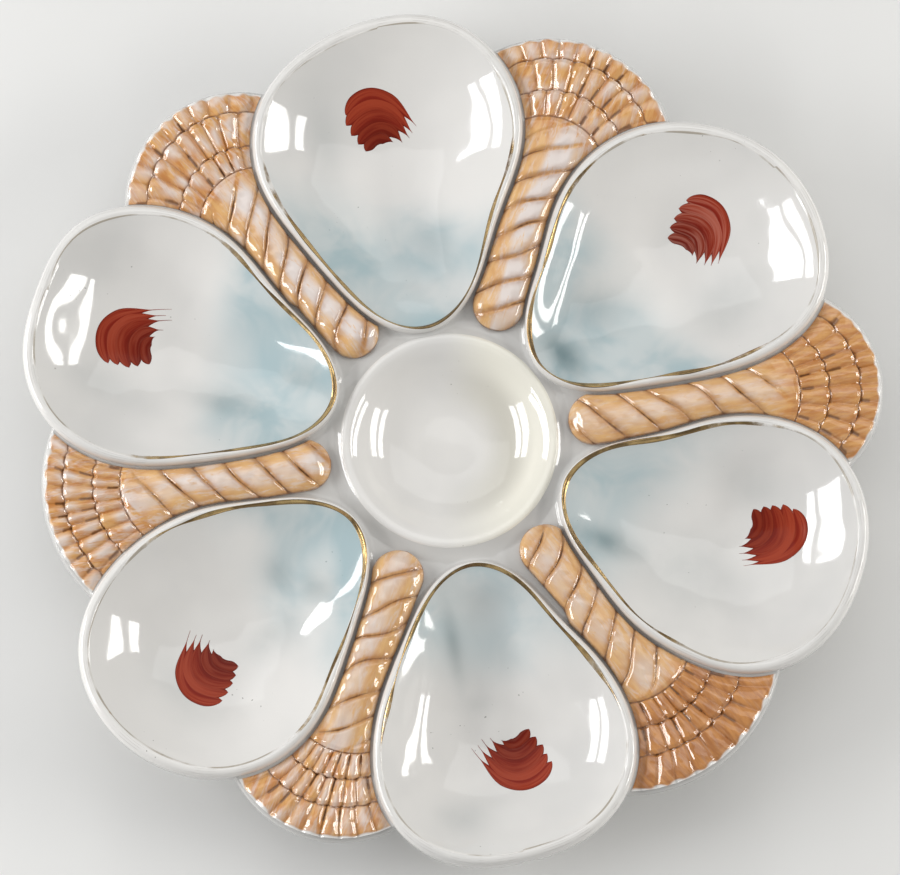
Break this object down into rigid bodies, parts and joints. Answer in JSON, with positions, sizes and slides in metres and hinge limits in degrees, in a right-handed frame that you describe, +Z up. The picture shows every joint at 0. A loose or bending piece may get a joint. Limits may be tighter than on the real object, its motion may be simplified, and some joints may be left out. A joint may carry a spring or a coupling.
{
  "type": "oyster plate",
  "caption": "Round glazed porcelain oyster plate: pear-shaped wells round a sauce well, with shell-and-stem relief ornaments between them, gilt rim lines and a foot ring.",
  "frame": {"origin": "centre of the foot ring's tread, on the table plane", "axes": "+Z up, +Y towards the far side as in the picture, +X to its right"},
  "size_m": [0.2291, 0.2295, 0.0251],
  "materials": {
    "white_glaze": "gloss",
    "tan_lustre": "gloss",
    "gilding": "satin",
    "red_enamel": "gloss"
  },
  "bodies": {
    "root": {"ground_web": "white_glaze", "sauce_well": "white_glaze", "foot_ring": "white_glaze", "oyster_well_1": "white_glaze", "oyster_well_2": "white_glaze", "oyster_well_3": "white_glaze", "oyster_well_4": "white_glaze", "oyster_well_5": "white_glaze", "oyster_well_6": "white_glaze", "shell_relief_1": "tan_lustre", "shell_relief_2": "tan_lustre", "shell_relief_3": "tan_lustre", "shell_relief_4": "tan_lustre", "shell_relief_5": "tan_lustre", "shell_relief_6": "tan_lustre", "gilt_line_1": "gilding", "gilt_line_2": "gilding", "gilt_line_3": "gilding", "gilt_line_4": "gilding", "gilt_line_5": "gilding", "gilt_line_6": "gilding", "red_mark_1": "red_enamel", "red_mark_2": "red_enamel", "red_mark_3": "red_enamel", "red_mark_4": "red_enamel", "red_mark_5": "red_enamel", "red_mark_6": "red_enamel"}
  },
  "joints": []
}
